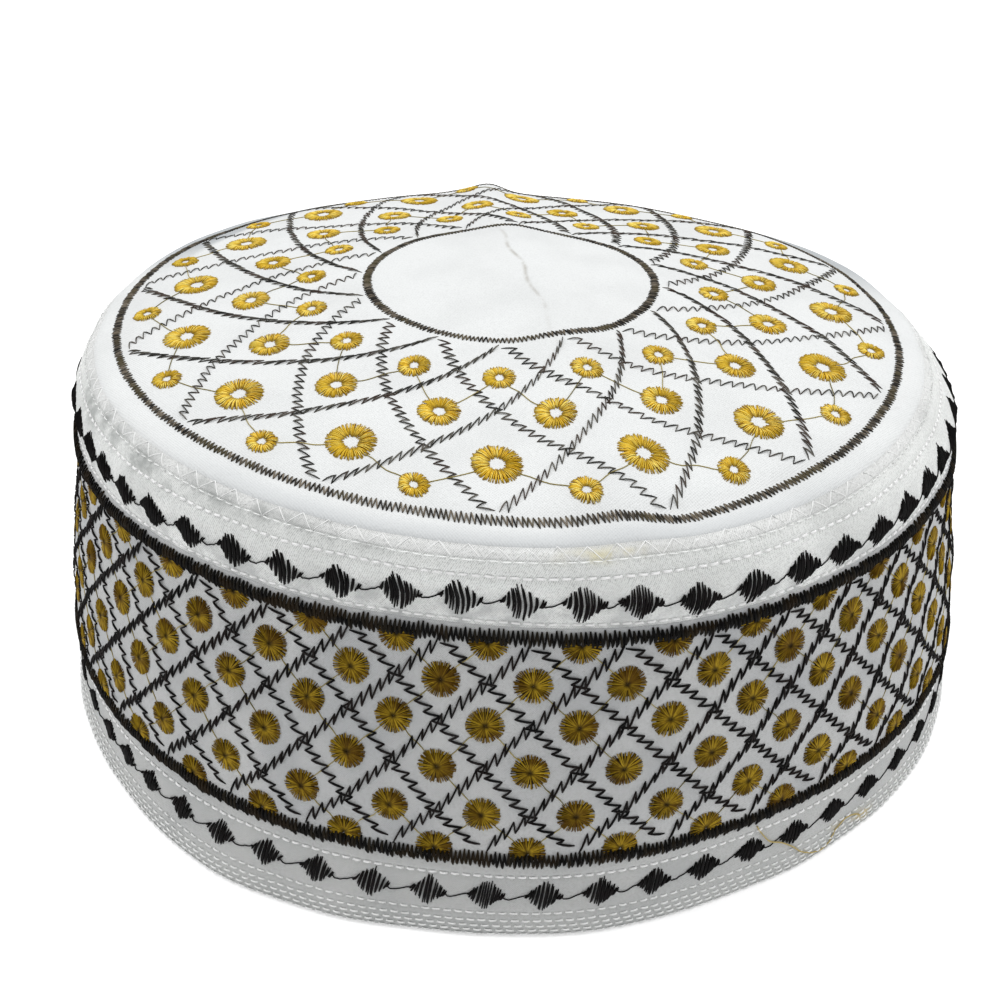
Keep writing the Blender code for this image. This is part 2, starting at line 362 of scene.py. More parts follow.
# %% A wrapper for node outputs
class Signal:
    """An output socket that takes part in Python sums."""

    def __init__(self, tree, socket):
        self.tree, self.socket = tree, socket

    def node(self, kind, settings=None, sockets=None, output=0):
        """A new node in the same tree: settings first, then values or links for its sockets."""
        node = self.tree.nodes.new(kind)
        for key, value in (settings or {}).items():
            setattr(node, key, value)
        for key, value in (sockets or {}).items():
            if isinstance(value, Signal):
                self.tree.links.new(value.socket, node.inputs[key])
            else:
                node.inputs[key].default_value = value
        return Signal(self.tree, node.outputs[output])

    def math(self, operation, *values):
        return self.node("ShaderNodeMath", {"operation": operation}, dict(enumerate(values)))

    def __add__(self, other):
        return self.math("ADD", self, other)

    def __sub__(self, other):
        return self.math("SUBTRACT", self, other)

    def __rsub__(self, other):
        return self.math("SUBTRACT", other, self)

    def __mul__(self, other):
        return self.math("MULTIPLY", self, other)

    def __truediv__(self, other):
        return self.math("DIVIDE", self, other)

    def __pow__(self, other):
        return self.math("POWER", self, other)

    __radd__, __rmul__ = __add__, __mul__

    def sin(self):
        return self.math("SINE", self)

    def size(self):
        return self.math("ABSOLUTE", self)

    def between(self, low, high):
        """0 below low, 1 above high, smooth in between."""
        sockets = {"Value": self, "From Min": low, "From Max": high}
        return self.node("ShaderNodeMapRange", {"interpolation_type": "SMOOTHSTEP"}, sockets)

    def bell(self, middle, width):
        """A bell of height 1 round a value: e to the minus square."""
        off = (self - middle) / width
        return self.math("POWER", np.e, off * off * -1.0)

    def mix(self, low, high):
        """The colour low where this is 0 and high where it is 1."""
        return self.node("ShaderNodeMix", {"data_type": "RGBA"}, {0: self, 6: low, 7: high}, 2)


def colour(red, green, blue):
    """A colour socket's value from a screen colour of 0 to 255, made linear."""
    screen = np.array([red, green, blue]) / 255
    return (*np.where(screen < 0.04045, screen / 12.92, ((screen + 0.055) / 1.055) ** 2.4), 1.0)


def new_material(name, roughness):
    """A material with only its shader, and the signal that all its nodes start from."""
    material = bpy.data.materials.new(name)
    material.use_nodes = True
    shader = material.node_tree.nodes["Principled BSDF"]
    shader.inputs["Roughness"].default_value = roughness
    start = Signal(material.node_tree, None).node("ShaderNodeTexCoord", output=3)
    return material, shader, start


def connect(signal, shader, socket):
    signal.tree.links.new(signal.socket, shader.inputs[socket])


# %% [markdown]
# ## Cotton
#
# The cap is undyed white cotton. The crown is a plain weave, the bands are a fine twill whose
# diagonals just show in the photograph. A weave could be an image, but a product of two sine waves in
# mm is sharper at every distance. The cloth is never one flat white: slow mottling, a few grey
# smudges where hands have held the shoulder, and a faint yellow stain are mixed in.
# Some of the grey is painted shade: the lower part of the shoulder band, the line of a fine fold on the
# crown and the crown's rim at the back and in front are painted greyer, and the side panel and the hem are
# painted a darker white than the crown.

# %% Cotton materials
FLECK = colour(146, 148, 145)
SMUDGE, STAIN, OLD_YELLOW = colour(140, 144, 142), colour(222, 214, 172), colour(204, 182, 112)
# The next two lines are painted shade: greyer cotton along the crown's fold, low on the shoulder band and on
# the crown's rim at the back and in front.
FOLD_SHADE, LOWER_BAND_SHADE = colour(176, 172, 164), colour(176, 178, 178)
BACK_RIM_SHADE, FRONT_RIM_SHADE = colour(140, 148, 154), colour(204, 207, 209)
TWILL_PITCH, CROSS_PITCH, PLAIN_PITCH = 0.36, 0.4, 0.55
BAND_MM = 520.0


def speckle(start, scale, detail=3.0):
    """Noise from 0 to 1 that is fixed to the cloth, with so many grains to the metre."""
    return start.node("ShaderNodeTexNoise", {}, {"Vector": start, "Scale": scale, "Detail": detail})


def cotton(name, white, shade, twill, spots=(), crown_shading=False, lumps=0.8):
    """Woven cotton: slow mottling and spots in its colour, and its weave and lumps as a fine bump.
    A spot is (mm round from the front, mm along the profile, width, height, colour, strength).
    With crown_shading, a fine old fold runs across the middle, and its line is painted darker as
    painted shade; the rim is painted greyer at the back and in front, also painted shade: there across
    and down are mm from the middle, so their squares' sum is the radius squared."""
    material, shader, start = new_material(name, 0.88)
    shader.inputs["Sheen Weight"].default_value = 0.15
    flat = start.node("ShaderNodeUVMap", {"uv_map": "cloth"})
    across = start.node("ShaderNodeSeparateXYZ", {}, {0: flat}, 0)
    down = start.node("ShaderNodeSeparateXYZ", {}, {0: flat}, 1)
    if twill:
        weave = ((across + down * 0.8) * (TAU / TWILL_PITCH)).sin() * 0.6
        weave = weave + ((across - down) * (TAU / CROSS_PITCH)).sin() * 0.4
    else:
        weave = (across * (TAU / PLAIN_PITCH)).sin() * (down * (TAU / PLAIN_PITCH)).sin()
    slub = speckle(start, 3000.0, 2.0)
    mottling = speckle(start, 60.0).between(0.35, 0.75)
    paint = mottling.mix(white, shade)
    fleck = weave * 0.25 + slub
    paint = (fleck.between(0.4, 0.85) * (0.6 if twill else 0.2)).mix(paint, FLECK)
    relief_sum = weave * 0.5 + slub + speckle(start, 900.0, 3.0) * lumps
    for where, at, width, height, tone, strength in spots:
        cloud = speckle(start, 260.0, 5.0).between(0.35, 0.7)
        mask = across.bell(where, width) * down.bell(at, height) * cloud * strength
        paint = mask.mix(paint, tone)
    if crown_shading:
        # Painted shade along the fine fold: its line is painted darker, and it is also a dip in the bump.
        off = across + down * 0.235 - (down * 0.35).sin() * 0.5
        line = off.bell(0.6, 0.4) * down.bell(4.0, 22.0) * speckle(start, 300.0, 4.0).between(0.3, 0.6)
        paint = (line * 0.75).mix(paint, FOLD_SHADE)
        relief_sum = relief_sum - line * 3.0
        # Painted shade: the rim is painted greyer at the back, where it curves away, and in front.
        square = across * across + down * down
        rim_shade_at_back = square.between(5480.0, 5900.0) * down.between(14.0, 34.0)
        paint = (rim_shade_at_back * 0.6).mix(paint, BACK_RIM_SHADE)
        # Painted shade on the rim in front.
        rim_shade_in_front = square.between(5200.0, 5750.0) * (down * -1.0).between(45.0, 72.0)
        paint = (rim_shade_in_front * 0.65).mix(paint, FRONT_RIM_SHADE)
    connect(paint, shader, "Base Color")
    bump = start.node("ShaderNodeBump", {}, {"Strength": 0.45, "Distance": 0.0001, "Height": relief_sum})
    connect(bump, shader, "Normal")
    return material


# Grey smudges where hands have held the shoulder and a faint yellow stain, and in the last spot painted
# shade
smudge_and_shade_spots = [
    (-93.0, 84.2, 6.0, 3.0, SMUDGE, 0.9),
    (-82.0, 83.4, 8.0, 2.6, SMUDGE, 0.8),
    (-66.0, 84.2, 9.0, 2.4, SMUDGE, 0.9),
    (-52.0, 82.4, 9.0, 2.2, SMUDGE, 0.7),
    (-40.0, 82.8, 9.0, 1.8, SMUDGE, 0.6),
    (-26.0, 83.4, 12.0, 1.4, SMUDGE, 0.35),
    (16.5, 82.3, 6.0, 1.1, STAIN, 0.9),
    # Painted shade: the lower part of the shoulder band is painted greyer, where less light falls.
    (0.0, 96.0, 10000.0, 6.0, LOWER_BAND_SHADE, 0.9),
]
loose_end_stains = [
    (67.5, 155.3, 2.4, 1.5, OLD_YELLOW, 1.0),
    (61.5, 153.3, 1.4, 1.2, OLD_YELLOW, 0.7),
]
crown_cotton = cotton("crown_cotton", colour(233, 235, 235), colour(225, 227, 227), False,
                      crown_shading=True, lumps=0.3)
seam_cotton = cotton("seam_cotton", colour(236, 237, 236), colour(214, 215, 214), True, smudge_and_shade_spots, lumps=4.0)
band_cotton = cotton("band_cotton", colour(240, 242, 240), colour(224, 226, 224), True, smudge_and_shade_spots)
# The panel and the hem are the same white cotton as the crown, painted a darker white: painted shade on
# their upright and tucked-in sides.
panel_cotton = cotton("panel_cotton", colour(194, 195, 195), colour(176, 178, 180), True)
hem_cotton = cotton("hem_cotton", colour(194, 195, 194), colour(180, 182, 182), True,
                    loose_end_stains, lumps=1.5)
print("materials so far:", sorted(material.name for material in bpy.data.materials))


# %% [markdown]
# ## Meshes from arrays
#
# Every piece goes from numpy arrays into a mesh in one step. The piece then rides on the cap's body,
# takes its material and, if it is cloth, stands for a solid.

# %% A mesh from arrays
def make_piece(name, points, groups, material, uv=None, marks=None):
    """A smooth mesh from points in mm and groups of faces, each an array of corner numbers."""
    counts = np.concatenate([np.full(len(group), group.shape[1]) for group in groups])
    corners = np.concatenate([group.ravel() for group in groups])
    mesh = bpy.data.meshes.new(name)
    mesh.vertices.add(len(points))
    mesh.vertices.foreach_set("co", (points * MM).astype(np.float32).ravel())
    mesh.loops.add(len(corners))
    mesh.loops.foreach_set("vertex_index", corners.astype(np.int32))
    mesh.polygons.add(len(counts))
    mesh.polygons.foreach_set("loop_start", (np.cumsum(counts) - counts).astype(np.int32))
    mesh.update(calc_edges=True)
    if uv is not None:
        layer = mesh.uv_layers.new(name="cloth")
        layer.data.foreach_set("uv", uv.astype(np.float32).ravel())
    for key, values in (marks or {}).items():
        layer = mesh.attributes.new(key, "FLOAT", "POINT")
        layer.data.foreach_set("value", values.astype(np.float32).ravel())
    mesh.shade_smooth()
    mesh.materials.append(material)
    piece = bpy.data.objects.new(name, mesh)
    bpy.context.scene.collection.objects.link(piece)
    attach(piece, "root")
    triangles = int((counts - 2).sum())
    totals.append(triangles)
    print("%s: %d triangles" % (name, triangles))
    return piece


totals = []


# %% [markdown]
# ## The five cloths
#
# Each cloth is a thin closed wall: an outer face that follows the relief, an inner face, and rounded
# folds at its edges. A flat sheet with Solidify would give a wall too, but its edges would be square,
# and folded cotton has round ones. Each lower cloth is tucked a little under the one above it.

# %% A closed wall of cloth
def wall_rows(start, end, rows, wall, tuck):
    """The rows of a wall's section, each a place and a depth: down the outer face, round the lower
    fold, up the inner face and round the upper one. The outer face starts tucked in by tuck."""
    fold = np.linspace(0, np.pi, 7)[1:-1]
    bulge = 0.3 * wall
    outer = np.linspace(start, end - bulge, rows)
    depth = np.zeros(rows)
    if tuck > 0:
        hidden = np.linspace(0, 1, 5)
        outer = np.concatenate([start - 0.9 + 0.9 * hidden, outer[1:]])
        depth = np.concatenate([tuck * (1 - hidden) ** 2, depth[1:]])
    inner = np.linspace(end - bulge, max(outer[0], 0.0), max(rows // 4, 4))
    lower = (end - bulge + bulge * np.sin(fold), wall / 2 * (1 - np.cos(fold)))
    upper = (outer[0] - bulge * np.sin(fold), wall + (depth[0] - wall) * (1 - np.cos(fold)) / 2)
    at = [outer, lower[0], inner] + ([upper[0]] if start > 0 else [])
    inset = [depth, lower[1], np.full(len(inner), wall)] + ([upper[1]] if start > 0 else [])
    return np.concatenate(at), np.concatenate(inset)


def make_cloth(name, node, start, end, rows, columns, wall, tuck, material):
    """A wall of cloth round the cap. Its UV map is in mm: round from the front and along the profile,
    or on the crown the x and y of each point."""
    at, inset = wall_rows(start, end, rows, wall, tuck)
    turn = np.arange(columns) / columns - 0.5
    fade = np.clip(1 - inset / wall, 0, 1)[:, None]
    points = cap_face(at[:, None], turn[None, :], inset[:, None] - fade * relief(at[:, None], turn[None, :]))
    ring = np.arange(len(at))[:, None] * columns
    column = np.arange(columns)
    ahead = (column + 1) % columns
    below = ring[1:] if start == 0 else np.roll(ring, -1, axis=0)
    ring = ring[: len(below)]
    quads = np.stack([ring + column, below + column, below + ahead, ring + ahead], axis=-1)
    u = np.stack([column, column, column + 1, column + 1], axis=-1) / columns - 0.5
    v = np.stack([at[: len(below)], np.roll(at, -1)[: len(below)]], axis=-1)[:, [0, 1, 1, 0]]
    uv = np.stack(np.broadcast_arrays(u[None] * BAND_MM, v[:, None]), axis=-1)
    points, quads = points.reshape(-1, 3), quads.reshape(-1, 4)
    groups, uv = [quads], uv.reshape(-1, 2)
    if start == 0:
        points, groups = close_poles(points, quads, columns)
        uv = points[np.concatenate([group.ravel() for group in groups]), :2]
    piece = make_piece(name, points, groups, material, uv)
    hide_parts(node)
    return piece


def close_poles(points, quads, columns):
    """Where the first and the last ring have no size, one point and a fan of triangles take the place
    of each. The other points keep their order."""
    first, last = points[:columns].mean(axis=0), points[-columns:].mean(axis=0)
    fan_out, fan_in = quads[:columns], quads[-columns:]
    body = quads[columns:-columns]
    keep = points[columns:-columns]
    pole = len(keep) + columns
    out = np.stack([np.full(columns, pole), fan_out[:, 1], fan_out[:, 2]], axis=-1)
    inward = np.stack([fan_in[:, 0], np.full(columns, pole + 1), fan_in[:, 3]], axis=-1)
    points = np.concatenate([keep, first[None], last[None]])
    return points, [body - columns, np.concatenate([out, inward]) - columns]


crown = make_cloth("crown_cloth", "crown", 0.0, CROWN_EDGE, 88, 320,
                   1.5, 0.0, crown_cotton)
seam = make_cloth("seam_strip", "crown_seam", CROWN_EDGE, SEAM_EDGE, 9, 432,
                  2.0, 0.5, seam_cotton)
band = make_cloth("shoulder_cloth", "shoulder_band", SEAM_EDGE, BAND_EDGE, 28, 432,
                  2.0, 0.5, band_cotton)
panel = make_cloth("panel_cloth", "side_panel", BAND_EDGE, PANEL_EDGE, 56, 432,
                   2.0, 0.9, panel_cotton)
hem = make_cloth("hem_cloth", "hem_band", PANEL_EDGE, HEM, 34, 432,
                 2.4, 0.6, hem_cotton)


# %% [markdown]
# ## Thread
#
# A stitch is a short arch of thread: it comes out of the cloth, lies over it and goes back in. Real
# geometry catches the light along its length, which a printed line can't do. Each stitch is a tube of
# a few rings with three to six sides, and all stitches of one kind are one mesh made from arrays.
# Two numbers go along with every point: a tint for its stitch, and how far along the stitch it lies.

# %% Thread materials
def thread(name, tones, roughness, centre_shade=None, faded=None, ends=None):
    """Twisted thread: its tint picks a colour from dark to light, with noise along it. With centre_shade,
    the start of each stitch is mixed towards that colour as painted shade where the stitches meet; with
    ends both of its ends are, as painted shade where the thread goes into the cloth; and with faded
    some stretches of the work have turned to another hue."""
    material, shader, start = new_material(name, roughness)
    shader.inputs["Specular IOR Level"].default_value = 0.12
    tint = start.node("ShaderNodeAttribute", {"attribute_name": "tint"}, output=2)
    along = start.node("ShaderNodeAttribute", {"attribute_name": "along"}, output=2)
    grain = speckle(start, 1400.0) - 0.5
    low, middle, high = (colour(*tone) for tone in tones)
    level = tint + grain * 0.5
    paint = level.between(0.45, 1.0).mix(level.between(0.0, 0.5).mix(low, middle), high)
    if faded:
        paint = (speckle(start, 170.0, 2.0).between(0.5, 0.62) * 0.6).mix(paint, colour(*faded))
    if centre_shade:
        paint = ((1.0 - along).between(0.7, 1.0) * 0.85).mix(paint, colour(*centre_shade))
    if ends:
        paint = (((along - 0.5).size() * 2.0).between(0.5, 1.0) * 0.6).mix(paint, colour(*ends))
    connect(paint, shader, "Base Color")
    bump = start.node("ShaderNodeBump", {}, {"Strength": 0.5, "Distance": 0.00008, "Height": grain})
    connect(bump, shader, "Normal")
    return material


BLACK = (5, 4, 4)
crown_dark = thread("crown_dark_thread", ((40, 40, 38), (68, 67, 62), (112, 108, 100)), 0.6,
                    faded=(84, 68, 60))
# Its darker ends are painted shade where each stitch goes into the cloth.
border_dark = thread("border_dark_thread", ((34, 32, 30), (76, 71, 63), (132, 122, 108)), 0.6,
                     faded=(92, 84, 60), ends=(26, 24, 22))
panel_dark = thread("panel_dark_thread", (BLACK, (15, 14, 14), (36, 32, 31)), 0.8, faded=(28, 20, 18))
satin_dark = thread("satin_dark_thread", (BLACK, (11, 10, 8), (34, 29, 20)), 0.8, faded=(40, 29, 12))
black = thread("diamond_thread", (BLACK, (7, 6, 6), (19, 17, 17)), 0.8, faded=(18, 12, 13))
# Its darker ends are painted shade where each ray goes into the cloth.
gold = thread("gold_thread", ((146, 108, 26), (236, 192, 50), (255, 234, 124)), 0.6,
              faded=(206, 170, 34), ends=(150, 118, 44))
# A darker gold for the pads under the eyelets' rays: painted shade between the rays.
gold_pad_shade = thread("gold_pad_shade_thread", ((130, 98, 22), (176, 138, 34), (200, 162, 52)), 0.7)
# The dark colour at the start of each stitch is painted shade in the middle of the disc.
bronze = thread("bronze_thread", ((34, 23, 3), (107, 81, 7), (182, 151, 38)), 0.7,
                centre_shade=(20, 10, 3), faded=(86, 55, 5))
# A darker bronze for the pads under the discs' rays: painted shade between the rays.
bronze_pad_shade = thread("bronze_pad_shade_thread", ((30, 21, 3), (52, 38, 5), (70, 51, 7)), 0.8)
link = thread("link_thread", ((108, 98, 44), (142, 128, 64), (168, 152, 88)), 0.7)
loose = thread("loose_thread", ((150, 132, 84), (178, 160, 104), (200, 180, 124)), 0.7)
# Its darkest tone is there for the painted shade of the needle holes; greyer stitches mix towards it too.
white_thread = thread("white_thread", ((70, 72, 70), (246, 247, 246), (252, 252, 252)), 0.6)


# %% Stitches as tubes
def unit(vectors):
    return vectors / np.maximum(np.linalg.norm(vectors, axis=-1, keepdims=True), 1e-9)


def sew(name, paths, heights, radius, sides, material, tint=None):
    """Tubes along paths on the cloth. A path is a row of places, a height is mm above the cloth, and
    the ring round a point is point + radius * (cos * side + sin * up)."""
    stitches, steps = paths.shape[:2]
    at, turn = settle(paths[..., 0], paths[..., 1])
    heights = np.broadcast_to(heights, (stitches, steps))
    radius = np.broadcast_to(radius, (stitches, steps))
    middle = cap_face(at, turn, -relief(at, turn) - heights)
    up = unit(cap_face(at, turn, -1.0) - cap_face(at, turn, 0.0))
    along = unit(np.gradient(middle, axis=1))
    side = unit(np.cross(along, up))
    up = np.cross(side, along)
    angle = TAU * (np.arange(sides) + 0.5) / sides
    ring = np.cos(angle)[:, None] * side[:, :, None] + np.sin(angle)[:, None] * up[:, :, None]
    points = middle[:, :, None] + radius[:, :, None, None] * ring
    number = np.arange(stitches * steps * sides).reshape(stitches, steps, sides)
    ahead = np.roll(number, -1, axis=2)
    quads = np.stack([number[:, :-1], number[:, 1:], ahead[:, 1:], ahead[:, :-1]], axis=-1).reshape(-1, 4)
    caps = np.concatenate([number[:, 0], number[:, -1, ::-1]])
    if tint is None:
        tint = draw.uniform(0, 1, stitches)
    marks = {
        "tint": np.broadcast_to(tint[:, None, None], number.shape),
        "along": np.broadcast_to(np.linspace(0, 1, steps)[None, :, None], number.shape),
    }
    return make_piece(name, points.reshape(-1, 3), [quads, caps], material, marks=marks)


def arches(first, last, steps):
    """Straight stitches from first places to last places, as paths of so many steps."""
    part = np.linspace(0, 1, steps)[None, :, None]
    first, last = np.stack(first, axis=-1)[:, None], np.stack(last, axis=-1)[:, None]
    return first + (last - first) * part


def join(sets):
    """Many sets of stitches, each its first places and its last places, as one set."""
    return tuple(tuple(np.concatenate(part) for part in zip(*ends)) for ends in zip(*sets))


def arch(steps, top, ends):
    """Heights along a stitch: low at both ends and level on top."""
    return ends + (top - ends) * np.sin(np.pi * np.linspace(0, 1, steps)) ** 0.5


# %% [markdown]
# ## The borders
#
# Bands of close zigzag stitching edge the crown's middle, its rim and both sides of the side panel.
# The needle swings between two edges while the cloth moves on, so each stitch slants. A real machine
# isn't exact, and a little scatter at the ends gives the ragged edge that the photograph shows.

# %% Zigzag borders
def zigzag_ring(top, bottom, count, lean, scatter):
    """Stitches of a zigzag round the cap: down from the top edge, leaning by lean of a step, and up
    again to the start of the next."""
    step = np.arange(count) / count
    upper = (top + draw.uniform(-scatter, scatter, count), step)
    below = bottom + draw.uniform(-scatter, scatter, count)
    lower = (below, step + (lean + draw.uniform(-0.2, 0.2, count)) / count)
    onward = (np.roll(upper[0], -1), step + 1 / count)
    return join([(upper, lower), (lower, onward)])


def sew_border(name, top, bottom, count, lean, scatter, radius, height, material):
    """One border as a mesh of stitches, the return stitches lying a little lower."""
    paths = arches(*zigzag_ring(top, bottom, count, lean, scatter), 4)
    lift = height * np.repeat([1.0, 0.8], count)[:, None]
    return sew(name, paths, arch(4, 1.0, 0.1)[None] * lift, radius * arch(4, 1.0, 0.7)[None], 4,
               material)


BORDER_COUNT = 580
border_half = 0.78 + 0.37 * bell(TAU * np.arange(BORDER_COUNT) / BORDER_COUNT, -0.1, 0.42)
sew_border("inner_border", INNER_BORDER - 0.9, INNER_BORDER + 0.9, 230, 0.7, 0.12, 0.15, 0.22, border_dark)
sew_border("outer_border", OUTER_BORDER - border_half, OUTER_BORDER + border_half, BORDER_COUNT,
           0.65, 0.15, 0.15, 0.22, border_dark)
sew_border("upper_satin", *UPPER_SATIN, 700, 0.55, 0.35, 0.225, 0.62, satin_dark)
sew_border("lower_satin", *LOWER_SATIN, 760, 0.55, 0.4, 0.24, 0.62, satin_dark)

# %% [markdown]
# ## The crown's lattice
#
# Sixteen pairs of curved lines cross each other on the crown, like petals laid over petals. Each is a
# coarse zigzag. Lines that run one way have long stitches along them and short ones back. Lines that
# run the other way have nearly level stitches, because the needle swings the same way for both.

# %% Zigzag lines
def zigzag_lines(at, turn, long_right, long_up, scatter, limits):
    """Stitches along many lines at once, from arrays of places (lines, units). Each unit has a long
    stitch through its place and a short one back to the start of the next long stitch. No stitch
    passes the limits along the profile."""
    at, turn = np.broadcast_arrays(at, turn)

    def scattered(right, up):
        place, aside = near(at, turn, right + draw.uniform(-scatter, scatter, at.shape),
                            up + draw.uniform(-scatter, scatter, at.shape))
        return np.clip(place, *limits), aside

    begin = scattered(-long_right / 2, -long_up / 2)
    end = scattered(long_right / 2, long_up / 2)
    first = tuple(np.concatenate([b.ravel(), e[:, :-1].ravel()]) for b, e in zip(begin, end))
    last = tuple(np.concatenate([e.ravel(), b[:, 1:].ravel()]) for b, e in zip(begin, end))
    return first, last


def sew_lines(name, sets, radius, material):
    """All lines of one lattice as one mesh."""
    paths = arches(*join(sets), 4)
    lift = draw.uniform(0.14, 0.3, len(paths))[:, None]
    return sew(name, paths, arch(4, 1.0, 0.0)[None] * lift, radius * arch(4, 1.0, 0.65)[None], 4,
               material)


def units_along(run, step, *columns):
    """Values at the middles of the equal units that a line falls into: as many units as steps go into
    the length of its run."""
    units = int(run[-1] / step)
    spots = (np.arange(units) + 0.5) * run[-1] / units
    return [np.interp(spots, run, column) for column in columns]


LINE_AT = (75.0, 60.5, 48.7, 38.4, 28.4)
LINE_COLUMNS = (0.0, 0.5, 1.0, 1.5, 2.0)
LINE_STEP, LINE_LIMITS = 2.0, (29.4, 73.9)
# A line's long stitch: mm to the right, mm up and scatter
CROWN_RISING, CROWN_FALLING = (1.5, 3.9, 0.14), (-2.9, 0.3, 0.14)
line_at = np.linspace(74.2, 29.8, 400)
line_shift = np.polyval(np.polyfit(LINE_AT, LINE_COLUMNS, 4), line_at)
line_angle = TAU * line_shift / CROWN_COLUMNS
line_run = np.hypot(np.diff(line_at * np.sin(line_angle)), np.diff(line_at * np.cos(line_angle)))
line_run = np.concatenate([[0.0], np.cumsum(line_run)])
unit_at, unit_shift = units_along(line_run, LINE_STEP, line_at, line_shift)
line = np.arange(CROWN_COLUMNS)[:, None]
line_turn = CROWN_TURN - 0.0024 * np.clip((unit_at - 60) / 15, 0, 1)
lines = [zigzag_lines(unit_at, line_turn + (line + way * unit_shift) / CROWN_COLUMNS, *stitch, LINE_LIMITS)
         for way, stitch in ((1, CROWN_RISING), (-1, CROWN_FALLING))]
sew_lines("crown_lattice", lines, 0.125, crown_dark)
print("a lattice line is %.0f mm long and has %d units" % (line_run[-1], len(unit_at)))


# %% [markdown]
# ## Eyelets on the crown
#
# In each cell of the lattice sits a sewn eyelet: a small hole with thread laid outwards from it like
# the rays of the sun. A padded ring lies under the rays, so that no cloth shows between them. Its
# darker colour is painted shade in the gaps between the rays.

# %% Rays round a centre, and the pad under them
def round_centre(at, turn, radius, angle, tall):
    """Places round a centre, by radius and angle. The round is longer from front to back by tall,
    whichever way the centre's own right and up point."""
    azimuth = np.where(at < CROWN_EDGE, TAU * turn, 0.0)
    x, y = radius * np.cos(angle), radius * np.sin(angle) * tall
    right = x * np.cos(azimuth) + y * np.sin(azimuth)
    return near(at, turn, right, y * np.cos(azimuth) - x * np.sin(azimuth))


def rays(at, turn, count, hole, reach, scatter, tall):
    """Stitches from a hole's edge outwards round many centres: first places, last places."""
    at, turn = (np.asarray(v, float)[:, None] for v in np.broadcast_arrays(at, turn))
    angle = TAU * (np.arange(count)[None, :] + draw.uniform(-0.3, 0.3, (len(at), count))) / count
    inner = hole * draw.uniform(0.75, 1.25, angle.shape)
    outer = reach + draw.uniform(-scatter, scatter, angle.shape)
    twist = angle + draw.uniform(-0.05, 0.05, angle.shape)
    first, last = round_centre(at, turn, inner, angle, tall), round_centre(at, turn, outer, twist, tall)
    return tuple(v.ravel() for v in first), tuple(v.ravel() for v in last)


def sew_rays(name, families, radius, heights, material):
    """Families of rays as one mesh of three-sided tubes, with a height for each ring along a ray.
    Light and dark rays take turns: every second one lies deeper and takes the darker tints as painted
    shade, and the raised ones take the lighter tints as painted highlights."""
    paths = arches(*join(families), len(heights))
    light = np.arange(len(paths)) % 2
    lift = (draw.uniform(0.6, 0.8, len(paths)) + 0.2 * light)[:, None] * np.array(heights)[None]
    # Painted shade and highlight: deeper rays get the darker half of the tones, raised rays the lighter
    # half.
    tint = draw.uniform(0.0, 0.5, len(paths)) + 0.5 * light
    return sew(name, paths, lift, radius, 3, material, tint)


def make_pads(name, families, height, limits, material):
    """Rings of padding, each a closed ring with a three-cornered section: its inner edge, its crest and
    its outer edge. A family is centres, turns, inner and outer radius, and how much longer it is."""
    corner, parts = TAU * np.arange(18) / 18, []
    for at, turn, inner, outer, tall in families:
        at, turn = (np.asarray(v, float)[:, None, None] for v in np.broadcast_arrays(at, turn))
        radius = np.array([inner, inner + 0.45 * (outer - inner), outer])[None, :, None]
        parts.append(np.stack(round_centre(at, turn, radius, corner[None, None, :], tall), axis=-1))
    place = np.concatenate(parts)
    at, turn = settle(np.clip(place[..., 0], *limits), place[..., 1])
    points = cap_face(at, turn, -relief(at, turn) - np.array([-0.15, height, -0.15])[None, :, None])
    number = np.arange(at.size).reshape(at.shape)
    outward, ahead = np.roll(number, -1, axis=1), np.roll(number, -1, axis=2)
    quads = np.stack([number, outward, np.roll(outward, -1, axis=2), ahead], axis=-1).reshape(-1, 4)
    marks = {"tint": np.broadcast_to(draw.uniform(0.2, 0.8, len(at))[:, None, None], at.shape)}
    return make_piece(name, points.reshape(-1, 3), [quads], material, marks=marks)


whole = np.arange(CROWN_COLUMNS) / CROWN_COLUMNS + CROWN_TURN
halves = whole + 0.5 / CROWN_COLUMNS
EYELETS = (
    # place along the profile, turns, hole, reach, rays
    (62.95, whole, 1.5, 4.25, 116),
    (50.43, halves, 1.2, 3.6, 98),
    (39.52, whole, 0.95, 2.85, 80),
    (70.13, halves, 0.85, 2.6, 72),
)
EYELET_TALL = 1.1
under = [(at, turns, hole + 0.1, reach - 0.2, EYELET_TALL) for at, turns, hole, reach, count in EYELETS]
over = [rays(at, turns, count, hole, reach, 0.22, EYELET_TALL) for at, turns, hole, reach, count in EYELETS]
make_pads("eyelet_pads", under, 0.2, (0.0, HEM), gold_pad_shade)
sew_rays("eyelet_rays", over, 0.105, (0.1, 0.4, 0.08), gold)

# %% [markdown]
# ## Discs on the side panel
#
# The side panel's cells hold filled discs of the same kind, without a hole. Their thread is more
# brown, and it is painted darkest in the middle, where all the stitches meet: painted shade. The first
# and the last row lie half under the satin borders.

# %% Discs
DISC_TALL, DISC_LIMITS = 1.03, (97.2, 141.0)


def row_turns(number):
    """The turns of one row's discs. Every second row is moved on by half a column."""
    return PANEL_TURN + (np.arange(PANEL_COLUMNS) + (number + 1) % 2 / 2) / PANEL_COLUMNS


disc_at = np.repeat(PANEL_ROWS, PANEL_COLUMNS)
disc_turn = np.concatenate([row_turns(number) for number in range(len(PANEL_ROWS))])
first, last = rays(disc_at, disc_turn, 84, 0.12, 3.15, 0.2, DISC_TALL)
clear = (last[0] > DISC_LIMITS[0]) & (last[0] < DISC_LIMITS[1])
discs = tuple(v[clear] for v in first), tuple(v[clear] for v in last)
make_pads("disc_pads", [(disc_at, disc_turn, 0.15, 3.1, DISC_TALL)], 0.2, DISC_LIMITS, bronze_pad_shade)
sew_rays("panel_discs", [discs], 0.1, (0.42, 0.14), bronze)

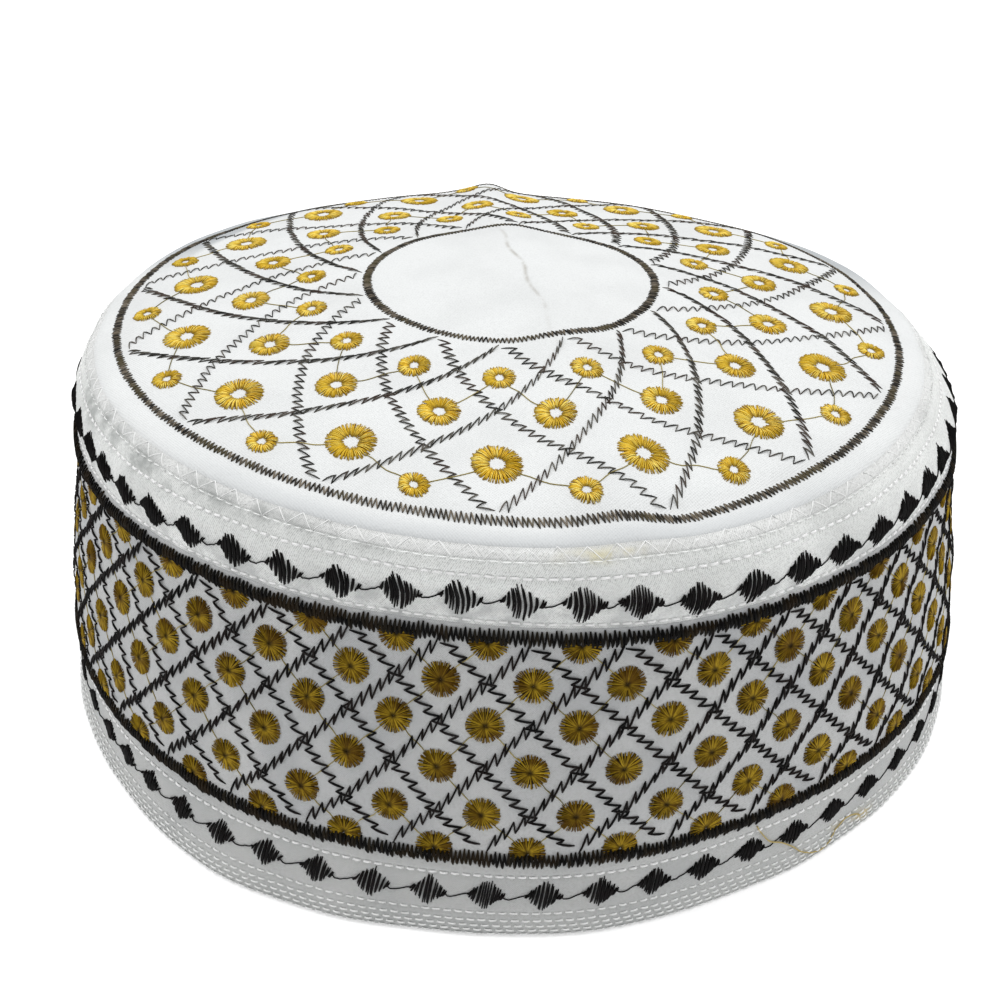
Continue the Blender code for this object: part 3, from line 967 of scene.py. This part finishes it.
# %% The side panel's lattice
PANEL_STEP = 2.2
PANEL_RISING, PANEL_FALLING = (1.45, 4.1, 0.18), (-3.1, 0.55, 0.15)
row_place = np.linspace(0.05, 4.9, 400)
line_at = np.interp(row_place, np.arange(6), PANEL_ROWS)
row_width = np.interp(line_at, RING_AT, RING_LENGTH) / (2 * PANEL_COLUMNS)
row_run = np.cumsum(np.hypot(np.gradient(line_at), np.gradient(row_place) * row_width))
unit_at, unit_row = (column[::-1] for column in units_along(row_run, PANEL_STEP, line_at, row_place))
line = np.arange(PANEL_COLUMNS)[:, None]
limits = (UPPER_SATIN[0] + 0.6, LOWER_SATIN[1] - 0.6)
lines = [zigzag_lines(unit_at, PANEL_TURN + (line + way * unit_row / 2) / PANEL_COLUMNS, *stitch, limits)
         for way, stitch in ((-1, PANEL_RISING), (1, PANEL_FALLING))]
sew_lines("panel_lattice", lines, 0.21, panel_dark)
print("a panel line is %.0f mm long" % row_run[-1])

# %% [markdown]
# ## Diamonds
#
# A chain of small diamonds runs round the shoulder band and another round the hem band. Each is filled
# with upright stitches, longest in the middle, and the thread is carried on to the next in a slack line.

# %% Diamond chains
DIAMOND_STROKES, DIAMOND_SPAN, DIAMOND_LEAN, PAIR_GAP = 8, 1.76, 0.42, 0.3
# The slack thread: where it starts, how much shorter it is than the way, and its dip on that way
JOIN_START, JOIN_SHORTER = 2.9, 5.6
JOIN_AT, JOIN_UP = (0, 0.15, 0.4, 1), (-0.4, -1.0, -0.8, 0.35)
UPPER_CHAIN = (
    # turn, mm to the right of even spacing, place along the profile, half height
    (-0.500, 0.0, 90.3, 3.2), (-0.185, 5.0, 90.0, 2.6), (-0.165, 2.9, 90.2, 2.7),
    (-0.147, 1.9, 90.5, 2.8), (-0.128, 0.9, 90.7, 2.9), (-0.110, 0.6, 90.75, 3.0),
    (-0.052, 0.6, 90.7, 3.25), (-0.034, 0.6, 90.45, 3.55), (-0.015, 0.3, 90.3, 3.7),
    (0.023, -0.1, 90.4, 3.6), (0.041, -0.9, 90.6, 3.2), (0.059, -0.75, 91.4, 3.2),
    (0.095, 0.0, 91.3, 3.25), (0.133, -0.75, 91.3, 3.0), (0.171, -2.0, 90.7, 3.0),
    (0.191, -3.2, 90.1, 2.7), (0.500, 0.0, 90.3, 3.2),
)
LOWER_CHAIN = (
    (-0.500, 0.0, 148.5, 2.8), (-0.160, 2.7, 148.4, 2.4), (-0.142, 1.5, 148.4, 2.4),
    (-0.125, 0.4, 148.4, 2.4), (-0.070, 0.0, 148.5, 2.7), (-0.035, 0.0, 148.55, 3.05),
    (0.015, 0.0, 148.6, 3.05), (0.050, -0.2, 148.7, 2.8), (0.117, -0.9, 148.5, 2.5),
    (0.152, -0.6, 148.4, 2.4), (0.500, 0.0, 148.5, 2.8),
)


def sew_diamonds(name, chain, half_width, turn, count, uneven):
    """A chain of diamonds. Each stroke is two stitches side by side, leaning to the right, and as long
    as the diamond is high there. The diamond's right end is lower than its left."""
    ring = np.interp(chain[0][2], RING_AT, RING_LENGTH)
    even = turn + np.arange(count) / count
    turns, *columns = np.array(chain).T
    moved, at, half_height = (np.interp((even + 0.5) % 1 - 0.5, turns, column) for column in columns)
    at, half_height = at[:, None], half_height[:, None]
    centre = (even + (uneven * np.cos(TAU * 5 * (even + 0.19)) + moved) / ring)[:, None]
    stitch = np.arange(2 * DIAMOND_STROKES)
    stroke = (stitch // 2 / (DIAMOND_STROKES - 1) - 0.5) * DIAMOND_SPAN * half_width
    beside = stroke + (stitch % 2 - 0.5) * PAIR_GAP
    across = beside + draw.uniform(-0.09, 0.09, (count, len(stitch)))
    wobble = draw.uniform(-0.35, 0.35, (2, count, len(stitch)))
    tall = half_height * (1.06 - np.minimum(np.abs(across) / half_width, 1) ** 1.15)
    middle = -0.12 * across
    top = near(at, centre, across + DIAMOND_LEAN + 0.2 * wobble[0], middle + tall + wobble[0])
    bottom = near(at, centre, across - DIAMOND_LEAN + 0.2 * wobble[1], middle - tall + wobble[1])
    first, last = tuple(v.ravel() for v in top), tuple(v.ravel() for v in bottom)
    paths = arches(first, last, 5)
    sew(name, paths, arch(5, 0.3, 0.0)[None], 0.215 * arch(5, 1.0, 0.6)[None], 4, black)
    part = np.linspace(0, 1, 9)[None, :]
    onward = ((np.roll(centre, -1) - centre) % 1) * ring
    slack_x = JOIN_START + (onward - JOIN_SHORTER) * part + draw.uniform(-0.08, 0.08, (count, 9))
    slack_y = np.interp(part, JOIN_AT, JOIN_UP) - (np.roll(at, -1) - at) * part
    slack_y = slack_y + draw.uniform(-0.12, 0.12, (count, 9))
    joins = np.stack(near(at, centre, slack_x, slack_y), axis=-1)
    sew(name + "_joins", joins, 0.1, 0.11, 5, black)


sew_diamonds("upper_diamonds", UPPER_CHAIN, 3.4, -0.2008, UPPER_COUNT, 0.5)
sew_diamonds("lower_diamonds", LOWER_CHAIN, 3.1, -0.1937, LOWER_COUNT, 0.2)


# %% [markdown]
# ## White stitching
#
# Rows of plain white stitches hold the bands. There is one stitch about every 2 mm, and between two of
# them the needle has left a tiny hole, drawn as a short sunken thread of dark grey: painted shade.

# %% Rows of running stitches
STITCH_PITCH, STITCH_GAP = 1.95, 0.6


def running_row(at, offset):
    """First and last places of the stitches of one row, and of the holes between them."""
    count = int(np.interp(at, RING_AT, RING_LENGTH) / STITCH_PITCH)
    start = (np.arange(count) + offset) / count
    share = (STITCH_PITCH - STITCH_GAP) / STITCH_PITCH / count
    sway = draw.uniform(-0.08, 0.08, (2, count))
    stitch = ((at + sway[0], start), (at + sway[1], start + share))
    hole = ((at + sway[1], start + share * 1.03), (at + sway[1], start + 0.97 / count))
    return stitch, hole


rows = [running_row(at, draw.uniform(0, 1)) for at in TOPSTITCHES + HEM_ROWS + (SEAM_ROW,)]
lengths = [len(row[0][0][0]) for row in rows]
thick = np.repeat([0.24] * len(TOPSTITCHES) + [0.18] * len(HEM_ROWS) + [0.11], lengths)[:, None]
# How white each row's stitches are: the hem rows and the seam row are greyer.
whiteness = np.repeat([0.72] * len(TOPSTITCHES) + [0.4] * len(HEM_ROWS) + [0.34], lengths)
stitches = arches(*join([stitch for stitch, hole in rows]), 4)
holes = arches(*join([hole for stitch, hole in rows]), 2)
sew("running_stitches", stitches, arch(4, 0.21, 0.06)[None], thick, 3, white_thread,
    whiteness + draw.uniform(0.0, 0.3, len(stitches)))
# Painted shade in the needle holes: short threads of the white thread's darkest tone, sunk below the cloth.
sew("needle_hole_shade", holes, arch(2, -0.08, -0.23)[None], 0.1, 3, white_thread,
    np.zeros(len(holes)))

# %% The seam round the crown
ZIGZAG_STEP = 2.25
count = int(np.interp(SEAM_MIDDLE, RING_AT, RING_LENGTH) / ZIGZAG_STEP / 2) * 2
corner_turn = np.arange(count) / count
corner_at = np.where(np.arange(count) % 2 == 0, 80.8, 83.0) + draw.uniform(-0.3, 0.3, count)
first, last = (corner_at, corner_turn), (np.roll(corner_at, -1), corner_turn + 1 / count)
sew("seam_zigzag", arches(first, last, 4), arch(4, 0.03, -0.06)[None], 0.085, 4, white_thread,
    draw.uniform(0.34, 0.8, count))

# %% [markdown]
# ## Loose ends
#
# Thin gold-green threads run from eyelet to eyelet where the needle was carried on without cutting.
# On the right of the hem a pale yellow end has slipped out and lies in a slack loop on the cloth.

# %% Links between the eyelets
LINKS = (
    # from and to: place, columns from a whole column; where on the way the thread starts and ends
    (63.4, 0.0, 70.1, 0.5, 0.27, 0.84),
    (63.4, 0.0, 70.1, -0.5, 0.27, 0.84),
    (50.4, 0.5, 39.5, 0.0, 0.24, 0.82),
    (50.4, 0.5, 39.5, 1.0, 0.24, 0.82),
)
link_paths = []
for at_a, shift_a, at_b, shift_b, start, end in LINKS:
    ends = [(np.full(CROWN_COLUMNS, at_a + (at_b - at_a) * part),
             whole + (shift_a + (shift_b - shift_a) * part) / CROWN_COLUMNS) for part in (start, end)]
    path = arches(ends[0], ends[1], 9)
    sway = np.sin(2.5 * np.pi * np.linspace(0, 1, 9)) * draw.uniform(-0.35, 0.35, (CROWN_COLUMNS, 1))
    path[..., 0] += sway
    link_paths.append(path)
sew("eyelet_links", np.concatenate(link_paths), 0.08, 0.09, 4, link)

# %% Links between the discs
LINK_SHARE, LINK_ENDS = 0.65, (0.24, 0.76)
links = []
for number, (row, onward) in enumerate(zip(PANEL_ROWS, PANEL_ROWS[1:])):
    for side in (-0.5, 0.5):
        chosen = row_turns(number)[draw.uniform(0, 1, PANEL_COLUMNS) < LINK_SHARE]
        links.append([(np.full(len(chosen), row + part * (onward - row)),
                       chosen + part * side / PANEL_COLUMNS) for part in LINK_ENDS])
paths = arches(*join(links), 6)
paths[..., 0] += np.sin(2 * np.pi * np.linspace(0, 1, 6)) * draw.uniform(-0.35, 0.35, (len(paths), 1))
sew("disc_links", paths, arch(6, 0.1, 0.0)[None], 0.09, 4, link)

# %% The stray end
STRAY = np.array([
    # place along the profile, turn
    (142.9, 0.0825), (145.9, 0.0854), (148.4, 0.0883), (149.6, 0.0929), (152.3, 0.0983), (154.1, 0.1008),
    (156.0, 0.1060), (156.9, 0.1105), (156.4, 0.1140), (155.0, 0.1158), (153.6, 0.1180), (152.9, 0.1221),
    (153.3, 0.1265), (154.8, 0.1296),
])
knot = np.arange(len(STRAY))
fine = np.linspace(0, len(STRAY) - 1, 61)
stray = np.stack([np.interp(fine, knot, STRAY[:, 0]), np.interp(fine, knot, STRAY[:, 1])], axis=-1)
soft = np.hanning(7) / np.hanning(7).sum()
for column in range(2):
    padded = np.pad(stray[:, column], 3, mode="edge")
    stray[:, column] = np.convolve(padded, soft, mode="valid")
sew("stray_thread", stray[None], 0.2, 0.13, 6, loose, np.array([0.6]))

# %% [markdown]
# ## Floor and light
#
# The photograph was taken on white, in light that comes from all round and a little from above, so
# the shadows are faint and the lower part of the cap is greyer than its crown. A pale floor, an even
# sky, one broad lamp overhead and three small ones round the cap do the same.
# The greyer lower part is also painted into the panel's and the hem's cotton as painted shade.

# %% Floor
FLOOR_HALF = 2500.0
corners = np.array([(-1, -1, 0), (1, -1, 0), (1, 1, 0), (-1, 1, 0)], float) * FLOOR_HALF * MM
floor_mesh = bpy.data.meshes.new("floor")
floor_mesh.from_pydata(corners.tolist(), [], [(0, 1, 2, 3)])
floor = bpy.data.objects.new("floor", floor_mesh)
bpy.context.scene.collection.objects.link(floor)
floor_material, floor_shader, floor_start = new_material("pale_floor", 0.9)
paint = speckle(floor_start, 3.0).mix(colour(250, 250, 250), colour(246, 246, 247))
connect(paint, floor_shader, "Base Color")
floor_shader.inputs["Emission Color"].default_value = (1.0, 1.0, 1.0, 1.0)
floor_shader.inputs["Emission Strength"].default_value = 0.3
floor_mesh.materials.append(floor_material)

# %% Lights
world = bpy.data.worlds.new("soft sky")
bpy.context.scene.world = world
world.use_nodes = True
sky = world.node_tree.nodes["Background"]
sky.inputs["Color"].default_value = (1.0, 1.0, 1.0, 1.0)
sky.inputs["Strength"].default_value = 0.3
for name, place, size, watts in (
    ("lamp_above", (0.0, 0.25, 1.5), 1.6, 16.0),
    ("lamp_left", (-1.2, 0.0, 0.8), 0.8, 4.4),
    ("lamp_right", (1.2, 0.0, 0.8), 0.8, 5.2),
    ("lamp_front", (-0.1, -1.1, 1.0), 0.8, 1.6),
):
    light = bpy.data.lights.new(name, "AREA")
    light.shape, light.size, light.energy = "DISK", size, watts
    lamp = bpy.data.objects.new(name, light)
    bpy.context.scene.collection.objects.link(lamp)
    toward = unit(np.array([0.0, 0.0, 0.04]) - np.array(place))
    flat_x = unit(np.cross(toward, (0, 1, 0.01)))
    aim = np.eye(4)
    aim[:3, :] = np.stack([flat_x, np.cross(flat_x, toward), -toward, place], axis=1)
    lamp.matrix_world = Matrix(aim.tolist())
bpy.context.scene.view_settings.view_transform = "Standard"
bpy.context.scene.view_settings.look = "None"

print("all pieces: %d triangles" % sum(totals))
